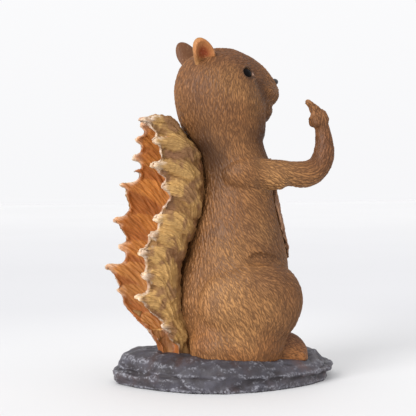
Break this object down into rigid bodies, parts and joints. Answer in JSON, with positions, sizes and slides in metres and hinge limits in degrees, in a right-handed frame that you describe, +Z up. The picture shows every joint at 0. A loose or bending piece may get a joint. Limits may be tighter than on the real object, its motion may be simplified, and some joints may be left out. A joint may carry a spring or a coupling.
{
  "type": "squirrel figurine",
  "caption": "Painted resin squirrel figurine sitting up on a rock base, its right arm raised with one finger out and its curled, hollow tail up its back.",
  "frame": {"origin": "on the base's flat underside, straight below the squirrel's spine", "axes": "+Z up, the squirrel faces -Y, its right side with the raised arm is -X"},
  "size_m": [0.084, 0.1325, 0.1914],
  "materials": {
    "rock_paint": "cast resin, grey paint with pale dry brushing",
    "felt": "pressed felt",
    "fur_paint": "cast resin with carved fur, brown paint and dark wash",
    "belly_paint": "cast resin with carved locks, pale paint",
    "ear_paint": "cast resin, brown outside and orange inside",
    "eye_gloss": "glossy bead",
    "nose_gloss": "satin black",
    "tail_paint": "cast resin with carved locks, ochre and orange paint with pale tips",
    "dowel_wood": "plain turned",
    "pin_steel": "drawn wire"
  },
  "bodies": {
    "root": {"rock_base": "rock_paint", "base_felt": "felt", "body": "fur_paint", "belly_fur": "belly_paint", "head": "fur_paint", "right_ear": "ear_paint", "left_ear": "ear_paint", "right_eye": "eye_gloss", "left_eye": "eye_gloss", "nose": "nose_gloss", "right_arm": "fur_paint", "left_arm": "fur_paint", "right_foot": "fur_paint", "left_foot": "fur_paint", "tail": "tail_paint", "neck_dowel": "dowel_wood", "right_arm_pin": "pin_steel", "left_arm_pin": "pin_steel", "base_dowels": "dowel_wood", "tail_pins": "pin_steel"}
  },
  "joints": []
}
